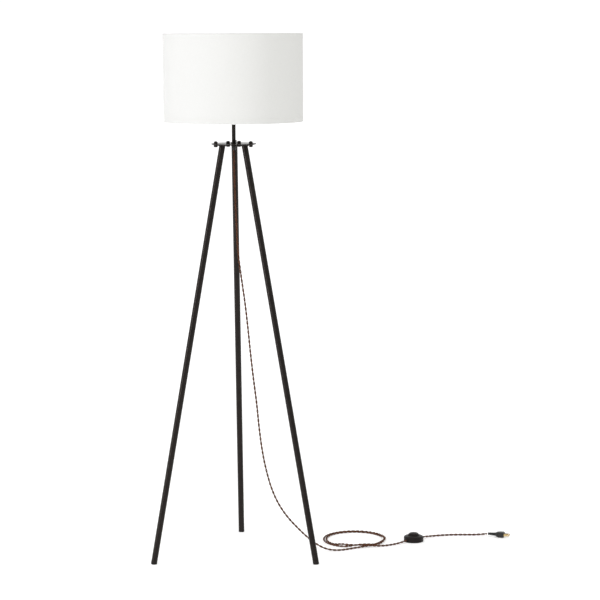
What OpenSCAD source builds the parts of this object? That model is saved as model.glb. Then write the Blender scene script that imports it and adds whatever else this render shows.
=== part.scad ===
// Tripod floor lamp: three bolted tube legs, a round hub plate, a short stem,
// a drum shade on a harp, and a twisted cloth cord with a foot switch.
// Millimetres, +Z up. The origin is on the floor, on the stem's axis.

/* [Tripod] */
// Height of the hub plate's top face above the floor
hub_h = 1221; // [1000:1:1450]
// Radius of the circle through the three feet
foot_r = 274; // [220:1:330]
// Radius at which the legs meet the hub
leg_top_r = 37.5; // [34:0.5:42]
// Outside diameter of a leg tube
leg_d = 18; // [13:0.5:22]
// Wall of a leg tube
leg_wall = 1.2; // [0.8:0.1:2.5]
// Visible height of a foot cap along the leg
cap_h = 9; // [6:0.5:14]
// Length of a foot cap's spigot inside the leg
cap_spigot = 18; // [8:1:30]
// Rounding of a foot cap's lower edge
cap_round = 3.5; // [1:0.5:5]

/* [Hub] */
// Diameter of the hub plate
hub_d = 131; // [128:1:160]
// Thickness of the hub plate
hub_t = 3; // [2:0.5:6]
// Radius of the inner bolt of each leg
bolt_in_r = 18.6; // [18:0.1:20]
// Radius of the outer bolt of each leg
bolt_out_r = 59; // [56:0.5:59]
// Thickness of a leg's flange
flange_t = 2.5; // [2:0.5:5]
// Thread diameter of the hub bolts
bolt_d = 6; // [5:1:6]
// Width across flats of the bolt heads and nuts
bolt_af = 10; // [9:0.5:11]
// Height of a bolt head
bolt_head_h = 4; // [3:0.5:6]
// Height of a hub nut
bolt_nut_h = 5; // [4:0.5:7]
// Diameter of a hub washer
washer_d = 12; // [11.5:0.5:12.5]
// Thickness of the washers
washer_t = 1.6; // [1:0.2:2.4]

/* [Stem] */
// Length of the stem, from the hub's top face to the harp saddle
stem_len = 64; // [45:1:300]
// Outside diameter of the stem tube
stem_d = 11.4; // [11:0.2:16]
// Diameter of the threaded nipple inside the stem
nipple_d = 9.6; // [9:0.1:10]
// Bore of the nipple, which the cord passes through
nipple_bore = 7; // [6.6:0.1:7.2]
// Diameter of the collar at the stem's foot
collar_d = 16; // [14:0.5:20]
// Height of the collar
collar_h = 4; // [3:0.5:8]
// Width across flats of the nut under the hub
stem_nut_af = 15; // [14:0.5:15.5]
// Height of the nut under the hub
stem_nut_h = 4; // [3:0.5:6]

/* [Harp] */
// Height of the harp, from the saddle's seat to the shade's seat
harp_h = 229; // [185:1:280]
// Width of the harp between the middles of its wires
harp_w = 114; // [96:1:130]
// Diameter of the harp wire
harp_wire_d = 3.6; // [3:0.1:4]
// Distance between the saddle's two prongs
saddle_w = 57; // [52:1:64]
// Width of the saddle strip
saddle_strip = 12; // [11:0.5:14]
// Thickness of the saddle strip
saddle_t = 1.2; // [1:0.1:2]
// Thread diameter of the stud on the harp
stud_d = 6.35; // [6:0.05:6.5]

/* [Shade] */
// Outside diameter of the shade
shade_d = 406; // [330:1:500]
// Height of the shade
shade_h = 255; // [200:1:310]
// Depth of the spider's seat below the shade's top rim
spider_drop = 25; // [24:1:50]
// Thickness of the shade fabric
fabric_t = 0.6; // [0.4:0.1:1]
// Thickness of the stiff liner under the fabric
liner_t = 0.8; // [0.5:0.1:1.5]
// Width of the rim trims
trim_w = 15; // [8:1:25]
// Thickness of the rim trims
trim_t = 0.4; // [0.2:0.1:0.8]
// Wire diameter of the shade's rings and spider
ring_wire_d = 3.2; // [2.6:0.1:4]

/* [Socket and bulb] */
// Outside diameter of the socket's cap
socket_d = 34; // [32:0.5:38]
// Height of the socket
socket_h = 57; // [54:1:70]
// Inside diameter of the socket's screw shell
screw_d = 26.8; // [26.4:0.1:27]
// Diameter of the bulb
bulb_d = 60; // [50:1:66]
// Length of the bulb, tip to crown
bulb_len = 108; // [100:1:120]

/* [Cord] */
// Diameter of the twisted cord
cord_d = 6; // [5:0.5:6]
// Mean radius of the loose coil on the floor
coil_r = 96; // [84:1:104]
// Width of the coil's bundle of turns
coil_w = 28; // [20:1:32]
// Height of the coil's bundle of turns
coil_h = 12; // [9:1:15]

/* [Foot switch] */
// Diameter of the switch
switch_d = 60; // [56:1:66]
// Height of the switch cover
switch_h = 21; // [20:0.5:26]
// Wall of the switch cover
switch_wall = 2; // [1.5:0.1:2.5]
// Diameter of the switch button
button_d = 30; // [26:0.5:32]
// Height of the button above the cover
button_rise = 7; // [6:0.5:10]

/* [Plug] */
// Width of the plug's body
plug_w = 28; // [26:1:34]
// Height of the plug's body
plug_h = 17; // [14:1:20]
// Length of the plug's body
plug_len = 26; // [20:1:34]
// Length of the strain relief behind the plug
relief_len = 24; // [20:1:40]

/* [Fits] */
// Clearance between pieces that are fixed together
fit_gap = 0.1; // [0.05:0.05:0.2]
// Radial clearance of a running fit
run_gap = 0.06; // [0.03:0.01:0.1]
// Clearance between moving curved faces
move_gap = 0.3; // [0.2:0.05:0.5]

/* [Hidden] */

$fn = 64;
eps = 0.01;
big = 4000;

// Colours
black_metal = [0.16, 0.14, 0.13];
steel = [0.62, 0.62, 0.62];
brass = [0.78, 0.62, 0.32];
black_plastic = [0.09, 0.09, 0.09];
linen = [0.95, 0.94, 0.91];
cloth_brown = [0.45, 0.25, 0.17];

// Legs
leg_angles = [90, 210, 330];
hub_bot_z = hub_h - hub_t;
flange_bot_z = hub_bot_z - flange_t;
splay = atan2(foot_r - leg_top_r, flange_bot_z);
leg_axis_len = norm([foot_r - leg_top_r, flange_bot_z]);
leg_bore = leg_d - 2 * leg_wall;
cap_below = 1.5;

// Hub fasteners
bolt_radii = [bolt_in_r, bolt_out_r];
bolt_hole_d = bolt_d + 0.4;
bolt_shank_d = bolt_d - 2 * fit_gap;
bolt_tip = 1.2;
bolt_stack = flange_t + hub_t + washer_t + bolt_nut_h + bolt_tip;
flange_end_d = washer_d;
flange_mid_d = leg_d + 5;

// Stem
saddle_z = hub_h + stem_len;
socket_z = saddle_z + saddle_t;
stem_hole_d = nipple_d + 2 * fit_gap;
stem_washer_d = 2 * (bolt_in_r - flange_end_d / 2) - 4;
stem_nut_z = hub_bot_z - washer_t - stem_nut_h;
bushing_d = 13;
bushing_h = 10;
bushing_lip = 3;
bushing_z = stem_nut_z - bushing_h - 1;
cord_hole_d = cord_d + 0.6;
nipple_reach = 7;
nipple_z0 = bushing_z + bushing_lip;
nipple_z1 = socket_z + nipple_reach;

// Harp
wire_x = harp_w / 2;
prong_x = saddle_w / 2;
prong_d = 3;
prong_z0 = 7;
prong_z1 = 16;
seat_z = saddle_z + harp_h;
stud_flange_d = 11;
stud_flange_t = 1.5;
stud_shank_d = 4.2;
stud_head_d = 7;
stud_head_t = 1.4;
stud_thread = 12;
stud_gap = 0.2;
boss_d = 11;
boss_t = 6;
boss_z = seat_z - stud_flange_t - stud_gap - boss_t;
harp_top_z = boss_z + boss_t / 2;
harp_z0 = saddle_z + prong_z1 + fit_gap;
harp_foot_h = 8;
harp_bend_z = harp_z0 + harp_foot_h;
bend_share = 0.42;
bend_r = bend_share * (wire_x - prong_x);
harp_side_z = harp_bend_z + 2 * bend_r;
ferrule_d = 7;
ferrule_h = 16;

// Shade
shade_top_z = seat_z + spider_drop;
shade_bot_z = shade_top_z - shade_h;
fabric_r = shade_d / 2 - trim_t;
liner_r = fabric_r - fabric_t;
liner_in_r = liner_r - liner_t;
ring_r = liner_in_r - trim_t - ring_wire_d / 2;
ring_inset = ring_wire_d / 2 + trim_t;
trim_inner_w = 2 * ring_inset;
spider_t = 1.6;
spider_hub_d = 22;
spider_hole_d = stud_d + 0.3;
spider_arm_z = seat_z + spider_t / 2;
spider_elbow = 8;
finial_z = seat_z + spider_t + fit_gap;
finial_h = 20;

// Socket and bulb
socket_wall = 0.8;
socket_cap_h = 20;
shell_d = socket_d - 2 * socket_wall - 2 * fit_gap;
shell_wall = 0.5;
insulator_d = shell_d - 2 * shell_wall - 2 * fit_gap;
insulator_wall = 0.5;
socket_body_d = insulator_d - 2 * insulator_wall - 2 * fit_gap;
socket_body_z = 11;
socket_body_h = 16;
screw_z = socket_body_z + socket_body_h;
screw_wall = 0.4;
contact_h = 2;
tip_z = socket_z + screw_z + contact_h;
bulb_cap_d = screw_d - 0.4;
bulb_cap_z = 4;
bulb_cap_h = 22;
bulb_r = bulb_d / 2;
bulb_mid_z = bulb_len - bulb_r;
glass_t = 1;

// Foot switch
switch_pos = [531, 147, 0];
switch_turn = 45;
pad_rise = 0.6;
pad_h = 1.2;
pad_d = 9;
base_t = 2.4;
base_d = switch_d - 2 * switch_wall - 2 * fit_gap;
cord_z = 7;
shoulder_r = button_d / 2 + 4;
button_lip = 1.5;
button_lip_t = 1.5;
button_flange_z = switch_h - switch_wall - move_gap - button_lip_t;
spring_d = 10;
spring_wire = 1;
spring_turns = 4;
block_h = 4;
block_w = 18;
block_top_z = pad_rise + base_t + block_h;
post_inset = 7.5;
post_r = switch_d / 2 - post_inset;
post_h = 8;
clamp_len = 6;
clamp_x = post_r - 7.5;
clamp_w = 10;
clamp_h = 8;
block_len = 2 * (clamp_x - 3);
post_d = 6;
screw_shank_d = 2.4;
screw_head_d = 4.8;
screw_head_t = 1;
screw_len = 9;
button_wall = 3;
button_dome_r = 24;
shoulder_h = 18.2;
// Round of the cover's shoulder, in shares of its width and of its height
shoulder_shares = [[0, 0.5], [0.06, 0.66], [0.25, 0.81], [0.5, 0.92], [0.82, 0.98], [1, 1]];
blade_gap = 12.7;
blade_len = 17;
blade_w = 6.3;
blade_t = 1.5;
relief_grip = 0.8;

// Route of the hanging stretch, from the bushing's mouth to the coil
cord_exit_z = bushing_z;
drop_route = [
    [0, 0, cord_exit_z], [0, 0, cord_exit_z - 20], [1, 0, 1120], [3, 0, 1050],
    [6, 1, 975], [10, 1, 900], [19, 2, 825], [29, 3, 750], [37, 4, 675],
    [44, 4, 600], [52, 5, 525], [61, 6, 450], [68, 7, 375], [77, 8, 305],
    [89, 9, 245], [104, 10, 192], [124, 12, 146], [150, 15, 106],
    [180, 18, 72], [210, 21, 42], [238, 23, 20], [262, 21, 8],
    [284, 18, 4], [306, 20, 3.2], [326, 31, 3], [346, 45, 3]
];
// Route from the coil to the switch
middle_route = [
    [392, 62, 8], [414, 66, 5], [434, 73, 3.5], [452, 83, 3],
    [468, 94, 3], [484, 104, 4], [500, 116, 6], [516, 132, 7]
];
// Route from the switch to the plug
tail_route = [
    [546, 162, 7], [562, 178, 6], [582, 195, 4], [608, 209, 3], [640, 217, 3],
    [680, 220, 3], [716, 219, 3], [742, 216, 5], [762, 210, 8.5]
];
coil_pos = [351, 158, 0];
drop_steps = 2;
plug_turn = -18;
tail_end = tail_route[len(tail_route) - 1];
plug_pos = tail_end + relief_len * [cos(plug_turn), sin(plug_turn), 0];

// Functions that sweep a tube along a route
function unit(v) = v / norm(v);
function clamp_at(list, i) = list[max(0, min(len(list) - 1, i))];
function spline(a, b, c, d, t) =
    (2 * b + (c - a) * t + (2 * a - 5 * b + 4 * c - d) * t * t
    + (3 * b - a - 3 * c + d) * t * t * t) / 2;
function smooth_route(p, steps) = [
    for (i = [0:len(p) - 2])
        for (k = [0:steps - 1])
            spline(clamp_at(p, i - 1), p[i], p[i + 1], clamp_at(p, i + 2), k / steps),
    p[len(p) - 1]
];
function heading(p, i) = unit(clamp_at(p, i + 1) - clamp_at(p, i - 1));
// A side vector that follows the route without twisting
function carried(side, dir) = unit(side - (side * dir) * dir);
function sides_of(p, i, side) =
    i == len(p) ? [] : concat(
        [carried(side, heading(p, i))],
        sides_of(p, i + 1, carried(side, heading(p, i)))
    );

// Tube of n sides along the points p
module swept_tube(p, d, n, first_side) {
    s = sides_of(p, 0, first_side);
    rings = len(p);
    points = [
        for (i = [0:rings - 1])
            for (k = [0:n - 1])
                let (u = s[i], v = cross(heading(p, i), u), a = 360 * k / n)
                p[i] + d / 2 * (cos(a) * u + sin(a) * v)
    ];
    walls = [
        for (i = [0:rings - 2])
            for (k = [0:n - 1])
                let (j = (k + 1) % n)
                each [
                    [i * n + k, (i + 1) * n + k, (i + 1) * n + j],
                    [i * n + k, (i + 1) * n + j, i * n + j]
                ]
    ];
    start = [[for (k = [0:n - 1]) k]];
    end = [[for (k = [n - 1:-1:0]) (rings - 1) * n + k]];
    polyhedron(concat(points), concat(walls, start, end), convexity = 4);
}

// Tube that stands on z = 0
module tube(d_out, d_in, h) {
    difference() {
        cylinder(d = d_out, h = h);
        translate([0, 0, -1]) cylinder(d = d_in, h = h + 2);
    }
}

module hex(af, h) {
    cylinder(d = af / cos(30), h = h, $fn = 6);
}

// Children in a leg's frame: +Z up the leg, z = 0 where its axis meets the floor
module on_leg(a) {
    rotate([0, 0, a])
        translate([foot_r, 0, 0])
            rotate([0, -splay, 0])
                children();
}

module each_hub_bolt() {
    for (a = leg_angles)
        for (r = bolt_radii)
            rotate([0, 0, a]) translate([r, 0, 0]) children();
}

module leg(a) {
    color(black_metal) difference() {
        on_leg(a)
            translate([0, 0, cap_h])
                tube(leg_d, leg_bore, leg_axis_len - cap_h + leg_d);
        translate([-big / 2, -big / 2, flange_bot_z]) cube([big, big, 4 * leg_d]);
    }
}

module foot_cap(a) {
    r = leg_d / 2;
    color(black_plastic) difference() {
        on_leg(a) {
            translate([0, 0, -cap_below]) rotate_extrude() {
                square([r - cap_round, cap_h + cap_below]);
                translate([0, cap_round]) square([r, cap_h + cap_below - cap_round]);
                intersection() {
                    translate([r - cap_round, cap_round]) circle(cap_round);
                    square([r, cap_h]);
                }
            }
            cylinder(d = leg_bore - 2 * fit_gap, h = cap_h + cap_spigot);
        }
        translate([-big / 2, -big / 2, -leg_d]) cube([big, big, leg_d]);
    }
}

// Flange welded to the top of a leg, bolted up against the hub plate
module leg_flange(a) {
    color(black_metal)
        rotate([0, 0, a])
            translate([0, 0, flange_bot_z])
                linear_extrude(flange_t) difference() {
                    union() {
                        translate([bolt_in_r, -flange_end_d / 2])
                            square([bolt_out_r - bolt_in_r, flange_end_d]);
                        translate([leg_top_r, 0]) circle(d = flange_mid_d);
                        for (r = bolt_radii) translate([r, 0]) circle(d = flange_end_d);
                    }
                    for (r = bolt_radii) translate([r, 0]) circle(d = bolt_hole_d);
                }
}

module hub_plate() {
    edge = 0.5;
    color(black_metal) difference() {
        translate([0, 0, hub_bot_z]) rotate_extrude() polygon([
            [0, 0], [hub_d / 2 - edge, 0], [hub_d / 2, edge],
            [hub_d / 2, hub_t - edge], [hub_d / 2 - edge, hub_t], [0, hub_t]
        ]);
        translate([0, 0, hub_bot_z - 1]) cylinder(d = stem_hole_d, h = hub_t + 2);
        translate([0, 0, hub_bot_z - 1]) each_hub_bolt() cylinder(d = bolt_hole_d, h = hub_t + 2);
    }
}

module hub_bolts() {
    color(black_metal) each_hub_bolt() {
        translate([0, 0, flange_bot_z - bolt_head_h]) hex(bolt_af, bolt_head_h);
        translate([0, 0, flange_bot_z - 1]) cylinder(d = bolt_shank_d, h = bolt_stack + 1);
    }
}

module hub_washers() {
    color(black_metal)
        translate([0, 0, hub_h]) each_hub_bolt() tube(washer_d, bolt_hole_d, washer_t);
}

module hub_nuts() {
    color(black_metal)
        translate([0, 0, hub_h + washer_t]) each_hub_bolt() difference() {
            hex(bolt_af, bolt_nut_h);
            translate([0, 0, -1]) cylinder(d = bolt_d, h = bolt_nut_h + 2);
        }
}

module stem_collar() {
    color(black_metal)
        translate([0, 0, hub_h]) tube(collar_d, stem_hole_d, collar_h);
}

module stem_tube() {
    color(black_metal)
        translate([0, 0, hub_h + collar_h]) tube(stem_d, stem_hole_d, stem_len - collar_h);
}

// Threaded nipple that clamps the hub, stem, saddle and socket together
module stem_nipple() {
    color(black_metal)
        translate([0, 0, nipple_z0]) tube(nipple_d, nipple_bore, nipple_z1 - nipple_z0);
}

module stem_washer() {
    color(black_metal)
        translate([0, 0, hub_bot_z - washer_t]) tube(stem_washer_d, stem_hole_d, washer_t);
}

module stem_nut() {
    color(black_metal) translate([0, 0, stem_nut_z]) difference() {
        hex(stem_nut_af, stem_nut_h);
        translate([0, 0, -1]) cylinder(d = stem_hole_d, h = stem_nut_h + 2);
    }
}

// Bushing on the nipple's lower end, with a rounded mouth for the cord
module cord_bushing() {
    lip_r = bushing_lip / 2;
    mouth_r = cord_hole_d / 2;
    color(black_plastic) translate([0, 0, bushing_z]) difference() {
        rotate_extrude() difference() {
            union() {
                translate([mouth_r, bushing_lip])
                    square([bushing_d / 2 - mouth_r, bushing_h - bushing_lip]);
                translate([mouth_r, lip_r])
                    square([bushing_d / 2 - mouth_r, bushing_lip]);
                translate([mouth_r + lip_r, 0])
                    square([bushing_d / 2 - mouth_r - 2 * lip_r, bushing_lip]);
                translate([mouth_r + lip_r, lip_r]) circle(lip_r);
                translate([bushing_d / 2 - lip_r, lip_r]) circle(lip_r);
            }
        }
        translate([0, 0, bushing_lip]) cylinder(d = stem_hole_d, h = bushing_h);
    }
}

// The cord's held stretch, from the bushing to the socket's body
module lead_in_stem() {
    color(cloth_brown)
        translate([0, 0, bushing_z]) cylinder(d = cord_d, h = socket_z + socket_body_z - bushing_z);
}

module harp_saddle() {
    half = prong_x + saddle_t / 2;
    inner = half - saddle_t;
    color(brass) translate([0, 0, saddle_z]) {
        difference() {
            rotate([90, 0, 0]) translate([0, 0, -saddle_strip / 2]) linear_extrude(saddle_strip)
                polygon([
                    [-half, prong_z0 + 1], [-half, 0], [half, 0], [half, prong_z0 + 1],
                    [inner, prong_z0 + 1], [inner, saddle_t],
                    [-inner, saddle_t], [-inner, prong_z0 + 1]
                ]);
            translate([0, 0, -1]) cylinder(d = stem_hole_d, h = saddle_t + 2);
        }
        for (side = [-1, 1])
            translate([side * prong_x, 0, prong_z0]) cylinder(d = prong_d, h = prong_z1 - prong_z0);
    }
}

// Arc of harp wire in the XZ plane, from +X towards +Z, centred on the origin
module wire_arc(r, a) {
    rotate([90, 0, 0])
        rotate_extrude(angle = a)
            translate([r, 0]) circle(d = harp_wire_d);
}

module harp_half() {
    up = harp_wire_d / 2;
    translate([prong_x, 0, harp_z0]) cylinder(r = up, h = harp_bend_z - harp_z0);
    translate([prong_x + bend_r, 0, harp_bend_z])
        mirror([1, 0, 0]) wire_arc(bend_r, 90);
    translate([prong_x + bend_r, 0, harp_bend_z + bend_r])
        rotate([0, 90, 0]) cylinder(r = up, h = wire_x - prong_x - 2 * bend_r);
    translate([wire_x - bend_r, 0, harp_side_z])
        mirror([0, 0, 1]) wire_arc(bend_r, 90);
    translate([wire_x, 0, harp_side_z])
        cylinder(r = up, h = harp_top_z - wire_x - harp_side_z);
    translate([0, 0, harp_top_z - wire_x]) wire_arc(wire_x, 90);
}

module harp_wire() {
    color(brass) difference() {
        union() {
            harp_half();
            mirror([1, 0, 0]) harp_half();
            translate([0, 0, boss_z]) cylinder(d = boss_d, h = boss_t);
        }
        translate([0, 0, boss_z - 1])
            cylinder(d = stud_shank_d + 2 * run_gap, h = boss_t + 2);
    }
}

module harp_ferrules() {
    color(brass) for (side = [-1, 1])
        translate([side * prong_x, 0, saddle_z + prong_z0 + 1 + fit_gap])
            tube(ferrule_d, harp_wire_d + 2 * fit_gap, ferrule_h);
}

// Swivelling stud on top of the harp, which the shade and finial sit on
module harp_stud() {
    head_z = boss_z - stud_gap - stud_head_t;
    color(brass) {
        translate([0, 0, head_z]) cylinder(d = stud_head_d, h = stud_head_t);
        translate([0, 0, head_z]) cylinder(d = stud_shank_d, h = seat_z - head_z);
        translate([0, 0, seat_z - stud_flange_t]) cylinder(d = stud_flange_d, h = stud_flange_t);
        translate([0, 0, seat_z - eps]) cylinder(d = stud_d, h = stud_thread + eps);
    }
}

module socket_cap() {
    r = socket_d / 2;
    hub_r = 8;
    step = 5;
    bell = 9;
    w = socket_wall;
    color(brass) translate([0, 0, socket_z]) rotate_extrude() polygon([
        [stem_hole_d / 2, 0], [hub_r, 0], [hub_r, step], [r - 2, bell], [r, bell + 4],
        [r, socket_cap_h], [r - w, socket_cap_h], [r - w, bell + 4.3],
        [r - 2 - w, bell + w], [hub_r - w, step + w], [stem_hole_d / 2, step + w]
    ]);
}

module socket_shell() {
    z0 = socket_body_z + 3;
    color(brass)
        translate([0, 0, socket_z + z0]) tube(shell_d, shell_d - 2 * shell_wall, socket_h - z0);
}

module socket_insulator() {
    z0 = socket_body_z + 3;
    color([0.72, 0.6, 0.42])
        translate([0, 0, socket_z + z0])
            tube(insulator_d, insulator_d - 2 * insulator_wall, socket_h - z0 - 1);
}

module socket_body() {
    color(black_plastic)
        translate([0, 0, socket_z + socket_body_z]) cylinder(d = socket_body_d, h = socket_body_h);
}

module socket_screw_shell() {
    color(brass)
        translate([0, 0, socket_z + screw_z])
            tube(screw_d + 2 * screw_wall, screw_d, socket_h - screw_z - 2);
}

module socket_contact() {
    color(brass)
        translate([0, 0, socket_z + screw_z]) cylinder(d = 8, h = contact_h - fit_gap);
}

// Outline of the bulb: a neck that flares into a ball of radius r
module bulb_outline(r, neck) {
    intersection() {
        union() {
            translate([0, bulb_mid_z]) circle(r);
            polygon([
                [0, bulb_cap_z + bulb_cap_h - 2], [neck, bulb_cap_z + bulb_cap_h - 2],
                [neck + 0.6, bulb_cap_z + bulb_cap_h + 6],
                [r * cos(28), bulb_mid_z - r * sin(28)], [0, bulb_mid_z]
            ]);
        }
        square([2 * r, 2 * bulb_len]);
    }
}

module bulb_glass() {
    neck = bulb_cap_d / 2 - 1;
    color([0.97, 0.97, 0.95, 0.8]) translate([0, 0, tip_z]) rotate_extrude() difference() {
        bulb_outline(bulb_r, neck);
        difference() {
            bulb_outline(bulb_r - glass_t, neck - glass_t);
            square([2 * bulb_r, bulb_cap_z + bulb_cap_h - 1]);
        }
    }
}

module bulb_cap() {
    floor_z = bulb_cap_z + bulb_cap_h - 2;
    color(steel) translate([0, 0, tip_z + bulb_cap_z])
        cylinder(d = bulb_cap_d, h = floor_z - bulb_cap_z);
}

// Insulated tip of the bulb's cap, with its end contact
module bulb_contact() {
    color(black_plastic) translate([0, 0, tip_z]) {
        cylinder(d = 9, h = 1.5);
        translate([0, 0, 1]) cylinder(d1 = 11, d2 = bulb_cap_d - 2, h = bulb_cap_z - 1);
    }
}

module shade_fabric() {
    color(linen)
        translate([0, 0, shade_bot_z + trim_t])
            tube(2 * fabric_r, 2 * liner_r, shade_h - 2 * trim_t, $fn = 128);
}

module shade_liner() {
    color([0.98, 0.98, 0.96])
        translate([0, 0, shade_bot_z + trim_t])
            tube(2 * liner_r, 2 * liner_in_r, shade_h - 2 * trim_t, $fn = 128);
}

module rim_ring(z) {
    color(steel)
        translate([0, 0, z]) rotate_extrude() translate([ring_r, 0]) circle(d = ring_wire_d, $fn = 24);
}

// Tape folded over a rim: outer leg, top edge and a short inner leg
module rim_trim() {
    color([0.93, 0.92, 0.89]) rotate_extrude($fn = 128) {
        translate([fabric_r, -trim_w]) square([trim_t, trim_w]);
        translate([liner_in_r - trim_t, -trim_t])
            square([fabric_r - liner_in_r + 2 * trim_t, trim_t]);
        translate([liner_in_r - trim_t, -trim_inner_w]) square([trim_t, trim_inner_w]);
    }
}

module shade_top_trim() {
    translate([0, 0, shade_top_z]) rim_trim();
}

module shade_bottom_trim() {
    translate([0, 0, shade_bot_z]) mirror([0, 0, 1]) rim_trim();
}

// Three arms that drop from the top ring to the seat on the harp
module shade_spider() {
    wire_r = ring_wire_d / 2;
    ring_z = shade_top_z - ring_inset - wire_r;
    arm_in = spider_hub_d / 2 - 3;
    elbow_x = ring_r - spider_elbow;
    color(steel) {
        translate([0, 0, seat_z]) tube(spider_hub_d, spider_hole_d, spider_t);
        for (a = leg_angles) rotate([0, 0, a]) translate([0, 0, spider_arm_z]) {
            translate([arm_in, 0, 0]) rotate([0, 90, 0]) cylinder(r = wire_r, h = elbow_x - arm_in);
            translate([elbow_x, 0, spider_elbow]) rotate([90, 0, 0]) rotate([0, 0, -90])
                rotate_extrude(angle = 90) translate([spider_elbow, 0]) circle(r = wire_r);
            translate([ring_r, 0, spider_elbow])
                cylinder(r = wire_r, h = ring_z - spider_arm_z - spider_elbow);
        }
    }
}

// Turned knob that holds the shade down on the stud
module finial() {
    base_r = 6;
    ball_r = 5.5;
    color(brass) translate([0, 0, finial_z]) difference() {
        rotate_extrude() {
            square([base_r, 3]);
            square([base_r - 2.2, finial_h - ball_r]);
            translate([0, 5]) square([base_r - 1, 2]);
            intersection() {
                translate([0, finial_h - ball_r]) circle(ball_r);
                square([ball_r, finial_h]);
            }
        }
        translate([0, 0, -1]) cylinder(d = stud_d + 2 * run_gap, h = stud_thread + 1);
    }
}

module cord_drop() {
    color(cloth_brown)
        swept_tube(smooth_route(drop_route, drop_steps), cord_d, 8, [1, 0, 0]);
}

module cord_coil() {
    color(cloth_brown)
        translate(coil_pos) rotate_extrude() translate([coil_r, coil_h / 2])
            intersection() {
                square([coil_w, coil_h], center = true);
                circle(d = coil_w + 1);
            }
}

module cord_middle() {
    color(cloth_brown)
        swept_tube(smooth_route(middle_route, 1), cord_d, 8, [0, 0, 1]);
}

module cord_tail() {
    color(cloth_brown)
        swept_tube(smooth_route(tail_route, 1), cord_d, 8, [0, 0, 1]);
}

module at_switch() {
    translate(switch_pos) rotate([0, 0, switch_turn]) children();
}

module each_post() {
    for (a = [90, 210, 330]) rotate([0, 0, a]) translate([post_r, 0, 0]) children();
}

module each_pad() {
    for (a = [30, 150, 270]) rotate([0, 0, a]) translate([post_r, 0, 0]) children();
}

module switch_pads() {
    color([0.05, 0.05, 0.05])
        at_switch() each_pad() cylinder(d = pad_d, h = pad_h);
}

module switch_base() {
    color(black_plastic) at_switch() difference() {
        translate([0, 0, pad_rise]) cylinder(d = base_d, h = base_t);
        each_pad() translate([0, 0, -1]) cylinder(d = pad_d + 2 * fit_gap, h = pad_h + 1);
        each_post() cylinder(d = screw_shank_d + 2 * fit_gap, h = 3 * base_t);
        each_post() cylinder(d = screw_head_d + 4 * fit_gap, h = pad_rise + screw_head_t);
    }
}

module switch_cover() {
    r = switch_d / 2;
    w = switch_wall;
    top = switch_h;
    low = pad_rise;
    color(black_plastic) at_switch() {
        difference() {
            rotate_extrude() polygon([
                [r, low],
                for (p = shoulder_shares) [r - p[0] * (r - shoulder_r), p[1] * shoulder_h],
                [shoulder_r - 1, top - 0.6], [shoulder_r - 1.8, top],
                [button_d / 2 + move_gap, top], [button_d / 2 + move_gap, top - w],
                [shoulder_r - 2, top - w], [shoulder_r - 1, shoulder_h - w], [r - 7.5, 16 - w],
                [r - 4.5, 12], [r - w - 0.8, 9], [r - w, 6], [r - w, low]
            ]);
            translate([0, 0, cord_z]) rotate([0, 90, 0])
                cylinder(d = cord_hole_d, h = 2 * switch_d, center = true);
        }
        each_post() translate([0, 0, low + base_t + fit_gap])
            tube(post_d, screw_shank_d, post_h);
    }
}

module switch_screws() {
    color(steel) at_switch() each_post() {
        translate([0, 0, pad_rise]) cylinder(d = screw_head_d, h = screw_head_t);
        translate([0, 0, pad_rise]) cylinder(d = screw_shank_d - 2 * fit_gap, h = screw_len);
    }
}

// Domed push button with a flange that the cover holds in
module switch_button() {
    crown_z = switch_h + button_rise;
    color([0.07, 0.07, 0.07]) at_switch() difference() {
        union() {
            translate([0, 0, button_flange_z])
                cylinder(d = button_d + 2 * button_lip, h = button_lip_t);
            intersection() {
                translate([0, 0, button_flange_z])
                    cylinder(d = button_d, h = crown_z - button_flange_z);
                translate([0, 0, crown_z - button_dome_r]) sphere(button_dome_r);
            }
        }
        translate([0, 0, button_flange_z - 1])
            cylinder(d = button_d - 2 * button_wall, h = switch_h - button_flange_z + 1);
    }
}

module switch_spring() {
    z0 = block_top_z + spring_wire / 2;
    z1 = switch_h - spring_wire / 2;
    r = spring_d / 2;
    per_turn = 12;
    n = spring_turns * per_turn;
    path = [
        for (i = [0:n])
            [r * cos(360 * i / per_turn), r * sin(360 * i / per_turn), z0 + (z1 - z0) * i / n]
    ];
    color(steel) at_switch() swept_tube(path, spring_wire, 8, [1, 0, 0]);
}

module switch_block() {
    color([0.85, 0.83, 0.78]) at_switch()
        translate([-block_len / 2, -block_w / 2, pad_rise + base_t]) cube([block_len, block_w, block_h]);
}

// Two clamps that grip the cord inside the cover
module switch_clamps() {
    color(black_plastic) at_switch() for (side = [0, 180]) rotate([0, 0, side])
        translate([clamp_x, -clamp_w / 2, pad_rise + base_t]) cube([clamp_len, clamp_w, clamp_h]);
}

module at_plug() {
    translate([plug_pos.x, plug_pos.y, plug_h / 2]) rotate([0, 0, plug_turn]) children();
}

// Round body with a flat top and bottom
module plug_body() {
    back = plug_w * 0.3;
    color(black_plastic) at_plug() intersection() {
        rotate([0, 90, 0]) rotate_extrude() polygon([
            [0, 0], [back, 0], [plug_w / 2 - 1, plug_len * 0.4],
            [plug_w / 2, plug_len * 0.6], [plug_w / 2, plug_len - 1],
            [plug_w / 2 - 1, plug_len], [0, plug_len]
        ]);
        translate([-1, -plug_w, -plug_h / 2]) cube([plug_len + 2, 2 * plug_w, plug_h]);
    }
}

module plug_relief() {
    color(black_plastic) at_plug() rotate([0, -90, 0])
        cylinder(d1 = plug_h * 0.6, d2 = cord_d + 2 * relief_grip, h = relief_len);
}

module plug_blades() {
    color(brass) at_plug() for (side = [-1, 1])
        translate([plug_len, side * blade_gap / 2 - blade_t / 2, -blade_w / 2])
            cube([blade_len, blade_t, blade_w]);
}

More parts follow.
